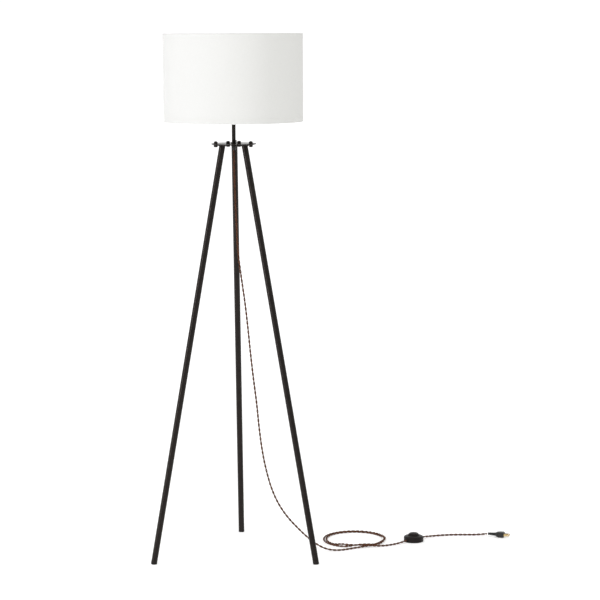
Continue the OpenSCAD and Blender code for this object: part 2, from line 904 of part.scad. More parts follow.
hub_plate();
leg(leg_angles[0]);  // leg_back
leg(leg_angles[1]);  // leg_left
leg(leg_angles[2]);  // leg_right
leg_flange(leg_angles[0]);  // leg_flange_back
leg_flange(leg_angles[1]);  // leg_flange_left
leg_flange(leg_angles[2]);  // leg_flange_right
foot_cap(leg_angles[0]);  // foot_cap_back
foot_cap(leg_angles[1]);  // foot_cap_left
foot_cap(leg_angles[2]);  // foot_cap_right
hub_bolts();
hub_washers();
hub_nuts();
stem_collar();
stem_tube();
stem_nipple();
stem_washer();
stem_nut();
cord_bushing();
lead_in_stem();
harp_saddle();
harp_wire();
harp_ferrules();
harp_stud();
socket_cap();
socket_shell();
socket_insulator();
socket_body();
socket_screw_shell();
socket_contact();
bulb_glass();
bulb_cap();
bulb_contact();
shade_fabric();
shade_liner();
rim_ring(shade_top_z - ring_inset);  // shade_top_ring
rim_ring(shade_bot_z + ring_inset);  // shade_bottom_ring
shade_top_trim();
shade_bottom_trim();
shade_spider();
finial();
cord_drop();
cord_coil();
cord_middle();
cord_tail();
switch_base();
switch_cover();
switch_button();
switch_spring();
switch_block();
switch_clamps();
switch_screws();
switch_pads();
plug_body();
plug_relief();
plug_blades();
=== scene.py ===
import math
import random

import bmesh
import bpy
from mathutils import Matrix, Vector, noise


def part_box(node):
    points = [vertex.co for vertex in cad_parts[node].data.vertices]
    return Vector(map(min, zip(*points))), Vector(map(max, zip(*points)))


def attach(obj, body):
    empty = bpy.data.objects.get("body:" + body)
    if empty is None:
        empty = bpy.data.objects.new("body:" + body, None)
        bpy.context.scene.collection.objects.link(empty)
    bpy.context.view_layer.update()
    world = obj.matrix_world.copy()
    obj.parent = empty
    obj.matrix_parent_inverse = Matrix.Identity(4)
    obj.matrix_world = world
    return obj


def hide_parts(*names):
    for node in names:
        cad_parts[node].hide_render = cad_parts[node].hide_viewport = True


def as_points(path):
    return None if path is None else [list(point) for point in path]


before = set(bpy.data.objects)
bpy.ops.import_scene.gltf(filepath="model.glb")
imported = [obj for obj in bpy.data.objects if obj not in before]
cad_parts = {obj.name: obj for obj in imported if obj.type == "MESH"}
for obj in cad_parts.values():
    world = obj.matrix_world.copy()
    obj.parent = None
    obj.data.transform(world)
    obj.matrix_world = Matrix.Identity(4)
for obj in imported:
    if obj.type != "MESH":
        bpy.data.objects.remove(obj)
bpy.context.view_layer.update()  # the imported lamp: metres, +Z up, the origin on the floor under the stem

MM = 0.001
TAU = 2 * math.pi
UP = Vector((0, 0, 1))

# Driving dimensions that the frame's boxes don't give
FOOT_R = 0.274
FOOT_CAP_H = 9 * MM
LEG_TOP_R = 0.0375
LEG_WALL = 1.2 * MM
LEG_ANGLES = {"back": 90, "left": 210, "right": 330}
BOLT_RADII = (0.0186, 0.059)
BOLT_D = 6 * MM
BOLT_AF = 10 * MM
CORD_INSIDE = 24 * MM  # the main cord starts this far up inside the bushing and the nipple
THREAD_SWING = 0.42 * MM  # half the depth of the bulb's rolled thread
BUTTON_R = 15 * MM
SWITCH_TURN = 45
PLUG_TURN = -18
STUD_THREAD_H = 12 * MM

# Camera: its place, and its turn to the left, tilt down and roll in degrees
CAMERA_AT = (0.313, -6.246, 1.545)
CAMERA_TURN, CAMERA_TILT, CAMERA_ROLL = 1.12, 7.16, -0.27
CAMERA_LENS = 128.5


# ---- camera

def make_camera():
    data = bpy.data.cameras.new("camera")
    data.lens = CAMERA_LENS
    data.sensor_width = 36
    data.clip_end = 100
    camera = bpy.data.objects.new("camera", data)
    turn = spin(CAMERA_TURN) @ spin(90 - CAMERA_TILT, "X") @ spin(CAMERA_ROLL)
    camera.matrix_world = shift(*CAMERA_AT) @ turn
    bpy.context.scene.collection.objects.link(camera)
    bpy.context.scene.camera = camera


# ---- materials

class Look:
    """A Principled material, with short calls for the nodes that give it its surface."""

    def __init__(self, name, **values):
        self.material = bpy.data.materials.new(name)
        self.material.use_nodes = True
        self.tree = self.material.node_tree
        self.tree.nodes.clear()
        self.shader = self.tree.nodes.new("ShaderNodeBsdfPrincipled")
        output = self.tree.nodes.new("ShaderNodeOutputMaterial")
        self.tree.links.new(self.shader.outputs[0], output.inputs[0])
        for key, value in values.items():
            self.set(self.shader, key.replace("_", " "), value)

    def set(self, node, key, value):
        socket = node.inputs[key]
        if isinstance(value, bpy.types.NodeSocket):
            self.tree.links.new(value, socket)
        elif socket.type == "RGBA":
            socket.default_value = (*value, 1)
        else:
            socket.default_value = value

    def node(self, kind, inputs=(), out=0, **settings):
        made = self.tree.nodes.new("ShaderNode" + kind)
        for key, value in settings.items():
            setattr(made, key, value)
        for key, value in dict(inputs).items():
            self.set(made, key, value)
        return made.outputs[out]

    def place(self, scale=(1, 1, 1), space="Object"):
        """Coordinates stretched by scale: the frame's metres, or the piece's UV map."""
        start = self.node("TexCoord", out={"Object": 3, "UV": 2}[space])
        return self.node("Mapping", {"Vector": start, "Scale": scale})

    def noise(self, scale, detail=3, rough=0.5, where=None):
        where = where or self.place()
        return self.node("TexNoise", {"Vector": where, "Scale": scale, "Detail": detail,
                                      "Roughness": rough})

    def math(self, operation, a, b=0.0):
        return self.node("Math", {0: a, 1: b}, operation=operation)

    def weighted(self, a, share_a, b, share_b):
        return self.math("ADD", self.math("MULTIPLY", a, share_a), self.math("MULTIPLY", b, share_b))

    def checks(self, a, b):
        """Raised and sunk squares from two waves, as 0 to 1."""
        return self.math("ADD", self.math("MULTIPLY", self.math("MULTIPLY", a, b), 0.5), 0.5)

    def split(self, where):
        """The X and the Y of a place."""
        parts = self.node("SeparateXYZ", {"Vector": where}).node.outputs
        return parts["X"], parts["Y"]

    def ramp(self, value, *stops):
        """Colour or grey against value; a stop is (place, colour)."""
        made = self.node("ValToRGB", {"Fac": value}).node
        band = made.color_ramp.elements
        while len(band) < len(stops):
            band.new(0.5)
        for element, (place, colour) in zip(band, stops):
            element.position = place
            element.color = (*colour, 1) if hasattr(colour, "__len__") else (colour,) * 3 + (1,)
        return made.outputs[0]

    def mix(self, share, a, b):
        return self.node("Mix", {0: share, 6: a, 7: b}, out=2, data_type="RGBA")

    def bump(self, height, distance, strength=1.0):
        normal = self.node("Bump", {"Height": height, "Distance": distance, "Strength": strength})
        self.set(self.shader, "Normal", normal)

    def finish(self, colour=None, roughness=None):
        for key, value in (("Base Color", colour), ("Roughness", roughness)):
            if value is not None:
                self.set(self.shader, key, value)
        return self.material


def metal_look(name, dark, light, roughness, grain=900, metallic=1.0, depth=0.00002, **values):
    """Metal with slow colour drift, fine grain and uneven gloss."""
    look = Look(name, Metallic=metallic, **values)
    drift = look.noise(45, 5, 0.6)
    fine = look.noise(grain, 2)
    colour = look.ramp(drift, (0.32, dark), (0.68, light))
    rough = look.ramp(fine, (0.2, roughness - 0.06), (0.8, roughness + 0.08))
    look.bump(look.math("ADD", look.math("MULTIPLY", drift, 0.5), fine), depth, 0.35)
    return look.finish(colour, rough)


def moulded_look(name, dark, light, roughness, grain=1600, depth=0.00003, **values):
    """Moulded plastic or rubber with a fine spark-eroded texture."""
    look = Look(name, **values)
    drift = look.noise(60, 3)
    fine = look.noise(grain, 2, 0.6)
    colour = look.ramp(look.weighted(fine, 0.35, drift, 0.65), (0.3, dark), (0.7, light))
    rough = look.ramp(fine, (0.25, roughness - 0.06), (0.75, roughness + 0.08))
    look.bump(fine, depth, 0.5)
    return look.finish(colour, rough)


def braid_look():
    """Rust-brown cotton braid over each strand, in the strand's UVs: along and around; the sunk squares
    between the carriers are painted near-black as shade.
    """
    look = Look("cord_cloth", Sheen_Weight=0.06, Sheen_Roughness=0.5, Specular_IOR_Level=0.12)
    along, around = look.split(look.place(space="UV"))
    carriers = 7
    waves = []
    for sign in ("ADD", "SUBTRACT"):
        slope = look.math(sign, around, along)
        waves.append(look.math("SINE", look.math("MULTIPLY", slope, carriers * TAU)))
    fuzz = look.noise(2600, 2, 0.6)
    weave_and_shade = look.weighted(look.checks(*waves), 0.6, fuzz, 0.4)
    drift = look.noise(30, 2)
    light = look.mix(drift, (0.32, 0.120, 0.052), (0.38, 0.152, 0.072))
    # Painted shade: the braid's sunk squares are coloured near-black, as if in their own shadow; the
    # raised ones carry the cloth's own rust-brown
    colour = look.mix(look.ramp(weave_and_shade, (0.47, 0.0), (0.82, 1.0)), (0.018, 0.006, 0.0045), light)
    look.bump(weave_and_shade, 0.00018, 0.8)
    return look.finish(colour, 0.85)


def linen_look(name, tint, slub):
    """Plain-weave shade cloth in UVs that are metres: threads 0.55 mm apart, with slubs."""
    look = Look(name, Sheen_Weight=0.08, Sheen_Roughness=0.4, Specular_IOR_Level=0.15)
    pitch = 0.55 * MM
    waves = [look.math("SINE", look.math("MULTIPLY", run, TAU / pitch))
             for run in look.split(look.place(space="UV"))]
    weft = look.noise(1, 3, 0.6, look.place((60, 2400, 1), "UV"))
    warp = look.noise(1, 3, 0.6, look.place((2400, 60, 1), "UV"))
    thread = look.weighted(weft, 0.5, warp, 0.5)
    height = look.math("ADD", look.math("MULTIPLY", look.checks(*waves), 0.5), thread)
    dark = tuple(c * (1 - slub) for c in tint)
    light = tuple(min(1, c * (1 + 0.3 * slub)) for c in tint)
    colour = look.ramp(thread, (0.35, dark), (0.62, light))
    look.bump(height, 0.00012, 0.5)
    return look.finish(colour, 0.9)


def fibre_look():
    look = Look("fibre_board", Specular_IOR_Level=0.2)
    fibres = look.noise(1, 4, 0.7, look.place((900, 900, 120)))
    colour = look.ramp(fibres, (0.3, (0.30, 0.20, 0.10)), (0.7, (0.48, 0.35, 0.20)))
    look.bump(fibres, 0.00005, 0.5)
    return look.finish(colour, 0.85)


def frosted_look():
    look = Look("bulb_glass", Coat_Weight=0.25, Coat_Roughness=0.12, Subsurface_Weight=0.15,
                Subsurface_Scale=0.004)
    powder = look.noise(1200, 2)
    colour = look.ramp(powder, (0.3, (0.80, 0.80, 0.77)), (0.7, (0.86, 0.86, 0.83)))
    return look.finish(colour, look.ramp(powder, (0.3, 0.22), (0.7, 0.3)))


def styrene_look():
    look = Look("shade_styrene", Specular_IOR_Level=0.35)
    ripple = look.noise(14, 3)
    fine = look.noise(1500, 2)
    colour = look.ramp(ripple, (0.3, (0.76, 0.76, 0.73)), (0.7, (0.80, 0.80, 0.775)))
    look.bump(look.math("ADD", ripple, look.math("MULTIPLY", fine, 0.1)), 0.0002, 0.4)
    return look.finish(colour, look.ramp(fine, (0.3, 0.42), (0.7, 0.55)))


def make_looks():
    black, soot = (0.0060, 0.0052, 0.0048), (0.0120, 0.0102, 0.0092)
    ebony, ebony_light = (0.006, 0.0055, 0.0055), (0.012, 0.011, 0.011)
    brass_dark, brass = (0.42, 0.27, 0.10), (0.60, 0.42, 0.17)
    warm = (1.0, 0.86, 0.82)
    looks = [
        metal_look("blackened_metal", black, soot, 0.25, metallic=0.0, depth=0.00001,
                   Specular_IOR_Level=0.2, Specular_Tint=warm),
        metal_look("blackened_fastener", black, (0.014, 0.012, 0.011), 0.28, metallic=0.0,
                   Specular_IOR_Level=0.22, Specular_Tint=warm),
        moulded_look("foot_rubber", (0.006, 0.0055, 0.0052), (0.013, 0.012, 0.0115), 0.6,
                     Specular_IOR_Level=0.25, Specular_Tint=warm),
        metal_look("zinc_steel", (0.42, 0.43, 0.44), (0.62, 0.62, 0.61), 0.32),
        moulded_look("black_plastic", (0.010, 0.010, 0.010), (0.02, 0.02, 0.02), 0.4),
        metal_look("brass_plate", brass_dark, brass, 0.28),
        metal_look("socket_brass", (0.36, 0.23, 0.09), (0.56, 0.40, 0.17), 0.33),
        moulded_look("phenolic", (0.012, 0.009, 0.008), (0.03, 0.02, 0.016), 0.25),
        metal_look("bulb_metal", (0.50, 0.51, 0.52), (0.68, 0.68, 0.67), 0.25),
        metal_look("finial_metal", brass_dark, brass, 0.22, 500),
        moulded_look("switch_plastic", ebony, ebony_light, 0.36, Specular_IOR_Level=0.14,
                     Specular_Tint=warm),
        moulded_look("button_plastic", ebony, ebony_light, 0.26, Specular_IOR_Level=0.2,
                     Specular_Tint=warm),
        moulded_look("block_plastic", (0.55, 0.53, 0.46), (0.66, 0.64, 0.57), 0.45),
        moulded_look("pad_rubber", (0.012, 0.012, 0.012), (0.025, 0.025, 0.025), 0.75),
        moulded_look("plug_plastic", (0.007, 0.0065, 0.006), (0.014, 0.013, 0.012), 0.42,
                     Specular_IOR_Level=0.4),
        metal_look("blade_brass", (0.50, 0.36, 0.16), (0.68, 0.52, 0.26), 0.24),
        braid_look(),
        fibre_look(),
        frosted_look(),
        styrene_look(),
        linen_look("shade_linen", (0.672, 0.672, 0.662), 0.05),
        linen_look("shade_tape", (0.668, 0.668, 0.658), 0.04),
    ]
    # Blender puts a number behind a name that the frame has already
    return {look.name.partition(".")[0]: look for look in looks}


# ---- mesh helpers

def fillet(points, closed=True, steps=5):
    """Outline through (x, y, r) points, with each corner rounded to a radius of r."""
    out = []
    count = len(points)
    for i, (x, y, r) in enumerate(points):
        here = Vector((x, y))
        if r <= 0 or not closed and i in (0, count - 1):
            out.append((x, y))
            continue
        a = Vector(points[i - 1][:2]) - here
        b = Vector(points[(i + 1) % count][:2]) - here
        half = a.angle(b) / 2
        reach = min(r / math.tan(half), 0.49 * a.length, 0.49 * b.length)
        radius = reach * math.tan(half)
        centre = here + (a.normalized() + b.normalized()).normalized() * radius / math.sin(half)
        first = here + a.normalized() * reach - centre
        last = here + b.normalized() * reach - centre
        start = math.atan2(first.y, first.x)
        sweep = (math.atan2(last.y, last.x) - start + math.pi) % TAU - math.pi
        for k in range(steps + 1):
            angle = start + sweep * k / steps
            out.append((centre.x + radius * math.cos(angle), centre.y + radius * math.sin(angle)))
    return out


def in_mm(*points):
    return [tuple(value * MM for value in point) for point in points]


def turned(outline, segments=64):
    """Outline of (radius, z) points turned about Z, or a function that gives one for an angle.
    A point on the axis becomes one vertex. An outline that starts there isn't closed."""
    columns = [outline(TAU * k / segments) if callable(outline) else outline
               for k in range(segments)]
    verts, rings = [], []
    for i, (r, z) in enumerate(columns[0]):
        if r < 1e-7:
            rings.append([len(verts)] * segments)
            verts.append((0, 0, z))
            continue
        rings.append(range(len(verts), len(verts) + segments))
        for k in range(segments):
            r, z = columns[k][i]
            verts.append((r * math.cos(TAU * k / segments), r * math.sin(TAU * k / segments), z))
    faces = []
    open_ended = columns[0][0][0] < 1e-7
    for a, b in zip(rings, rings[1:] if open_ended else rings[1:] + rings[:1]):
        for k in range(segments):
            j = (k + 1) % segments
            corners = list(dict.fromkeys((a[k], a[j], b[j], b[k])))
            if len(corners) > 2:
                faces.append(corners)
    return verts, faces


def carried_frames(line, loop=False):
    """(tangent, side, up) along a line, turned as little as possible from point to point."""
    last = len(line) - 1
    out = []
    side = None
    for i in range(len(line)):
        ahead = line[(i + 1) % (last + 1)] if loop else line[min(i + 1, last)]
        behind = line[i - 1] if loop else line[max(i - 1, 0)]
        tangent = (ahead - behind).normalized()
        if side is None:
            side = tangent.orthogonal()
        side = (side - side.dot(tangent) * tangent).normalized()
        out.append((tangent, side, tangent.cross(side)))
    return out


def swept(line, radius, sides=12, loop=False):
    """Round tube along a line; radius is a number or a function of the point's index."""
    verts, uvs, runs = [], [], []
    run = 0.0
    for i, (_, side, up) in enumerate(carried_frames(line, loop)):
        r = radius(i) if callable(radius) else radius
        run += (line[i] - line[i - 1]).length if i else 0
        runs.append(run)
        for k in range(sides):
            angle = TAU * k / sides
            verts.append(tuple(line[i] + r * (math.cos(angle) * side + math.sin(angle) * up)))
    count = len(line)
    faces = skin_between(count, sides, loop)
    for n in range(len(faces)):
        i, k = divmod(n, sides)
        here, there, low, high = runs[i], runs[(i + 1) % count], k / sides, (k + 1) / sides
        uvs.append(((here, low), (here, high), (there, high), (there, low)))
    if not loop:
        for first, order in ((0, -1), ((count - 1) * sides, 1)):
            faces.append([first + k for k in range(sides)][::order])
            uvs.append([(runs[0 if first == 0 else -1], k / sides) for k in range(sides)][::order])
    return verts, faces, uvs


def skin_between(count, sides, loop=False):
    """Faces between neighbours of a count of rings, and from the last to the first in a loop."""
    faces = []
    for i in range(count if loop else count - 1):
        j = (i + 1) % count
        for k in range(sides):
            m = (k + 1) % sides
            faces.append((i * sides + k, i * sides + m, j * sides + m, j * sides + k))
    return faces


def lofted(rings):
    """Closed skin through rings of the same number of points, with a fan at each end."""
    sides = len(rings[0])
    verts, faces = [tuple(p) for ring in rings for p in ring], skin_between(len(rings), sides)
    for i, order in ((0, -1), (len(rings) - 1, 1)):
        middle = sum((Vector(p) for p in rings[i]), Vector()) / sides
        verts.append(tuple(middle))
        for k in range(sides):
            faces.append((i * sides + k, i * sides + (k + 1) % sides, len(verts) - 1)[::order])
    return verts, faces


def moved(shape, matrix):
    return [tuple(matrix @ Vector(v)) for v in shape[0]], *shape[1:]


def joined(shapes):
    verts, faces = [], []
    for shape in shapes:
        start = len(verts)
        verts += shape[0]
        faces += [[start + i for i in face] for face in shape[1]]
    return verts, faces


def piece(name, shape, look, body="frame", replaces=(), sharp=35):
    """A mesh object of a shape, which rides on a body and stands for CAD nodes."""
    mesh = bpy.data.meshes.new(name)
    mesh.from_pydata(shape[0], [], shape[1])
    if len(shape) > 2:
        layer = mesh.uv_layers.new(name="UVMap")
        flat = [uv for face in shape[2] for uv in face]
        for loop, uv in zip(layer.data, flat):
            loop.uv = uv
    built = bmesh.new()
    built.from_mesh(mesh)
    bmesh.ops.recalc_face_normals(built, faces=built.faces)
    built.to_mesh(mesh)
    built.free()
    mesh.polygons.foreach_set("use_smooth", [True] * len(mesh.polygons))
    mesh.set_sharp_from_angle(angle=math.radians(sharp))
    mesh.materials.append(looks[look])
    obj = bpy.data.objects.new(name, mesh)
    bpy.context.scene.collection.objects.link(obj)
    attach(obj, body)
    if replaces:
        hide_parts(*replaces)
    return obj


def spin(degrees, axis="Z"):
    return Matrix.Rotation(math.radians(degrees), 4, axis)


def shift(x=0.0, y=0.0, z=0.0):
    return Matrix.Translation((x, y, z))


def smooth(value, low, high):
    t = max(0.0, min(1.0, (value - low) / (high - low)))
    return t * t * (3 - 2 * t)


# ---- cords

def routed(points, steps=12):
    """Smooth line through given points, the curve that the CAD tube follows."""
    p = [Vector(point) for point in points]
    out = []
    for i in range(len(p) - 1):
        a, b, c, d = p[max(i - 1, 0)], p[i], p[i + 1], p[min(i + 2, len(p) - 1)]
        for k in range(steps):
            t = k / steps
            out.append((2 * b + (c - a) * t + (2 * a - 5 * b + 4 * c - d) * t * t
                        + (3 * b - a - 3 * c + d) * t ** 3) / 2)
    return out + [p[-1]]


DROP_ROUTE = [
    (0, 0, 1.2014), (0, 0, 1.1814), (0.001, 0, 1.120), (0.003, 0, 1.050),
    (0.006, 0.001, 0.975), (0.010, 0.001, 0.900), (0.019, 0.002, 0.825),
    (0.029, 0.003, 0.750), (0.037, 0.004, 0.675), (0.044, 0.004, 0.600),
    (0.052, 0.005, 0.525), (0.061, 0.006, 0.450), (0.068, 0.007, 0.375),
    (0.077, 0.008, 0.305), (0.089, 0.009, 0.245), (0.104, 0.010, 0.192),
    (0.124, 0.012, 0.146), (0.150, 0.015, 0.106), (0.180, 0.018, 0.072),
    (0.210, 0.021, 0.042), (0.238, 0.023, 0.020), (0.262, 0.021, 0.008),
    (0.284, 0.018, 0.004), (0.306, 0.020, 0.0032), (0.326, 0.031, 0.003),
    (0.346, 0.045, 0.003),
]
MIDDLE_ROUTE = [
    (0.392, 0.062, 0.008), (0.414, 0.066, 0.005), (0.434, 0.073, 0.0035),
    (0.452, 0.083, 0.003), (0.468, 0.094, 0.003), (0.484, 0.104, 0.004),
    (0.500, 0.116, 0.006), (0.516, 0.132, 0.007),
]
TAIL_ROUTE = [
    (0.546, 0.162, 0.007), (0.562, 0.178, 0.006), (0.582, 0.195, 0.004),
    (0.608, 0.209, 0.003), (0.640, 0.217, 0.003), (0.680, 0.220, 0.003),
    (0.716, 0.219, 0.003), (0.742, 0.216, 0.005), (0.762, 0.210, 0.0085),
]
COIL_CENTRE = (0.351, 0.158)
COIL_R = 0.0895
COIL_OVAL = 0.0045
# The coil starts further out, where the cord comes in: degrees and metres
LEAD_IN_WIDTH = 40
LEAD_IN_OUT = 0.0225
COIL_START = -93
COIL_END = 653
COIL_STEP = 4
# Where the cord changes lane in the coil: (degree, width in degrees, metres outward)
LANES = ((-3, 38, 0.010), (255, 34, -0.008), (288, 26, 0.007), (357, 38, -0.007),
         (615, 34, 0.0075), (645, 24, 0.003))
# Where it passes over itself: (degree, half the top, length of each ramp)
HUMPS = ((286, 9, 22), (357, 10, 24), (629, 22, 22))
COIL_FLOOR = 3.1 * MM
COIL_RISE = 6.2 * MM


def coil_line():
    """The coil's two turns on the floor, each passing over the first in long low humps."""
    out = []
    for i in range(int((COIL_END - COIL_START) / COIL_STEP) + 1):
        at = COIL_START + i * COIL_STEP
        angle = math.radians(at)
        radius = COIL_R + 0.004 * math.sin(angle) + 0.001 * math.cos(angle)
        radius -= COIL_OVAL * math.cos(2 * angle)
        radius += sum(out_by * smooth(at, middle - width / 2, middle + width / 2)
                      for middle, width, out_by in LANES)
        lead_in = max(0.0, 1 - (at - COIL_START) / LEAD_IN_WIDTH)
        radius += LEAD_IN_OUT * lead_in ** 2
        hump = max(smooth(at, mid - top - ramp, mid - top) * smooth(-at, -mid - top - ramp, -mid - top)
                   for mid, top, ramp in HUMPS)
        out.append(Vector((COIL_CENTRE[0] + radius * math.cos(angle),
                           COIL_CENTRE[1] + radius * math.sin(angle),
                           COIL_FLOOR + COIL_RISE * hump)))
    return out


def evened(line, step):
    """The line again, with points a step apart."""
    out = [line[0]]
    for point in line[1:]:
        while (point - out[-1]).length >= step:
            out.append(out[-1] + (point - out[-1]).normalized() * step)
    return out


def twisted_pair(name, line, body="frame", replaces=()):
    """Two cloth-covered strands twisted round a line, as one mesh."""
    strand_r, helix_r, pitch, step = 1.45 * MM, 1.5 * MM, 28 * MM, 1.5 * MM
    steps = evened(line, step)
    frames = carried_frames(steps)
    verts, faces, uvs = [], [], []
    for start in (0, math.pi):
        strand = []
        for i, (point, (_, side, up)) in enumerate(zip(steps, frames)):
            angle = start + TAU * i * step / pitch
            strand.append(point + helix_r * (math.cos(angle) * side + math.sin(angle) * up))
        v, f, u = swept(strand, strand_r)
        uvs += [[(along / (TAU * strand_r), around) for along, around in face] for face in u]
        faces += [[len(verts) + n for n in face] for face in f]
        verts += v
    return piece(name, (verts, faces, uvs), "cord_cloth", body, replaces, 60), steps


def make_main_cord():
    """From inside the bushing, down and round the coil to the foot switch."""
    top = Vector(DROP_ROUTE[0]) + CORD_INSIDE * UP
    line = [top] + routed(DROP_ROUTE)[:-1] + coil_line()[:-1] + routed(MIDDLE_ROUTE)
    return twisted_pair("cord_to_switch", relaxed(line),
                        replaces=("cord_drop", "cord_coil", "cord_middle"))


def make_stem_cord():
    """The last of the cord, from where the main cord ends up to the lamp holder."""
    start = Vector(DROP_ROUTE[0]) + CORD_INSIDE * UP
    end = Vector((0, 0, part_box("lead_in_stem")[1].z))
    twisted_pair("cord_in_stem", routed([start, end]), replaces=("lead_in_stem",))


def relaxed(line, step=0.004, rounds=12):
    """The line with even steps, eased a little so that its stretches join in one curve."""
    points = evened(line, step)
    for _ in range(rounds):
        points = [points[0], points[1]] + [
            (points[i - 1] + 2 * points[i] + points[i + 1]) / 4 for i in range(2, len(points) - 2)
        ] + points[-2:]
    return routed(points, 3)


# ---- hub and legs

def hex_turned(af, height, bore=0.0, top=True, bottom=True, crown=0.0):
    """Hexagon of that width across flats, with turned corners on its chosen faces."""
    rim = af / 2 * 0.96

    def outline(angle):
        out_r = af / 2 / math.cos((angle + math.pi / 6) % (math.pi / 3) - math.pi / 6)
        drop = (out_r - rim) * math.tan(math.radians(30))
        low, high = drop if bottom else 0.0, height - (drop if top else 0.0)
        middle = [(out_r, low), (out_r, low + (high - low) * 0.5), (out_r, high), (rim, height)]
        start = [(rim if bottom else out_r, 0.0)]
        if bore:
            lip = 0.35 * MM
            return [(bore, lip), (bore + lip, 0.0)] + start + middle + [
                (bore + lip, height), (bore, height - lip)]
        return [(0, 0)] + start + middle + [(rim * 0.5, height + crown * 0.8), (0, height + crown)]

    return turned(outline, 72)


def threaded(radius, depth, pitch, length, segments=36, tip=0.0):
    """Rod with a helical thread from z = 0 up, and a turned tip."""
    rows = max(2, int(length / pitch * 8))

    def outline(angle):
        out = [(0, 0)]
        for i in range(rows + 1):
            z = length * i / rows
            phase = (z / pitch - angle / TAU) % 1
            cut = depth * (1 - abs(2 * phase - 1))
            limit = radius if z < length - tip else radius - (z - length + tip)
            out.append((min(radius - cut, limit), z))
        return out + [(0, length)]

    return turned(outline, segments)


def make_hub():
    hub_low, hub_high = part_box("hub_plate")
    flange_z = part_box("leg_flange_back")[0].z
    bolts, washers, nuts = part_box("hub_bolts"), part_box("hub_washers"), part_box("hub_nuts")
    head_h = flange_z - bolts[0].z
    washer_t = washers[1].z - washers[0].z
    nut_h = nuts[1].z - nuts[0].z
    chance = random.Random(4)
    heads, rings, hexes = [], [], []
    ring = fillet([(BOLT_D / 2 + 0.2 * MM, 0, 0.2 * MM), (BOLT_D, 0, 0.3 * MM),
                   (BOLT_D, washer_t, 0.5 * MM), (BOLT_D / 2 + 0.2 * MM, washer_t, 0.3 * MM)])
    for angle in LEG_ANGLES.values():
        for radius in BOLT_RADII:
            place = spin(angle) @ shift(radius)
            turn = place @ shift(z=flange_z) @ spin(180, "X") @ spin(chance.uniform(0, 60))
            heads.append(moved(hex_turned(BOLT_AF, head_h, bottom=False, crown=0.5 * MM), turn))
            rod = threaded(BOLT_D / 2 - 0.1 * MM, 0.35 * MM, 1 * MM, bolts[1].z - hub_low.z,
                           tip=0.7 * MM)
            heads.append(moved(rod, place @ shift(z=hub_low.z)))
            rings.append(moved(turned(ring, 48), place @ shift(z=hub_high.z)))
            turn = place @ shift(z=nuts[0].z) @ spin(chance.uniform(0, 60))
            hexes.append(moved(hex_turned(BOLT_AF, nut_h, BOLT_D / 2), turn))
    for kind, shapes in (("bolt", heads), ("washer", rings), ("nut", hexes)):
        piece(f"hub_{kind}_set", joined(shapes), "blackened_fastener", replaces=(f"hub_{kind}s",))


def make_leg(name, angle):
    """Tube from its foot cap to its flange, cut slantwise on top, with the weld round it."""
    low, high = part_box("leg_back")
    radius = (high.x - low.x) / 2
    top_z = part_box("leg_flange_back")[0].z
    splay = math.atan2(FOOT_R - LEG_TOP_R, top_z)
    place = spin(angle) @ shift(FOOT_R) @ Matrix.Rotation(-splay, 4, "Y")

    def top(r, around):
        return (top_z - math.sin(splay) * r * math.cos(around)) / math.cos(splay)

    def outline(around):
        inner = radius - LEG_WALL
        edge = 0.4 * MM
        return [(inner, FOOT_CAP_H), (radius - edge, FOOT_CAP_H), (radius, FOOT_CAP_H + edge),
                (radius, top(radius, around)), (inner, top(inner, around))]

    piece("leg_tube_" + name, moved(turned(outline, 72), place), "blackened_metal",
          replaces=("leg_" + name,))
    ripples, steps = 22, 6
    inset = 0.5 * MM
    bead = radius + inset
    seam = []
    for k in range(ripples * steps):
        around = TAU * k / (ripples * steps)
        seam.append(place @ Vector((bead * math.cos(around), bead * math.sin(around),
                                    top(bead, around))) - inset * UP)
    weld = swept(seam, lambda i: (1.55 + 0.16 * math.sin(TAU * i / steps)) * MM, loop=True)
    piece("leg_weld_" + name, weld[:2], "blackened_metal", sharp=60)


def make_stem():
    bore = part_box("stem_nipple")[1].x + 0.1 * MM
    for name, node, look, low_edge, high_edge in (
        ("stem_foot_collar", "stem_collar", "blackened_metal", 0.4 * MM, 1.6 * MM),
        ("stem_sleeve", "stem_tube", "blackened_metal", 0.3 * MM, 0.3 * MM),
        ("stem_flat_washer", "stem_washer", "blackened_fastener", 0.5 * MM, 0.2 * MM),
    ):
        low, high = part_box(node)
        ring = fillet([(bore, low.z, 0), (high.x, low.z, low_edge), (high.x, high.z, high_edge),
                       (bore, high.z, 0)])
        piece(name, turned(ring), look, replaces=(node,))
    low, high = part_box("stem_nut")
    nut = hex_turned(2 * high.y, high.z - low.z, bore)
    piece("stem_lock_nut", moved(nut, shift(z=low.z)), "blackened_fastener", replaces=("stem_nut",))


# ---- harp, socket and bulb

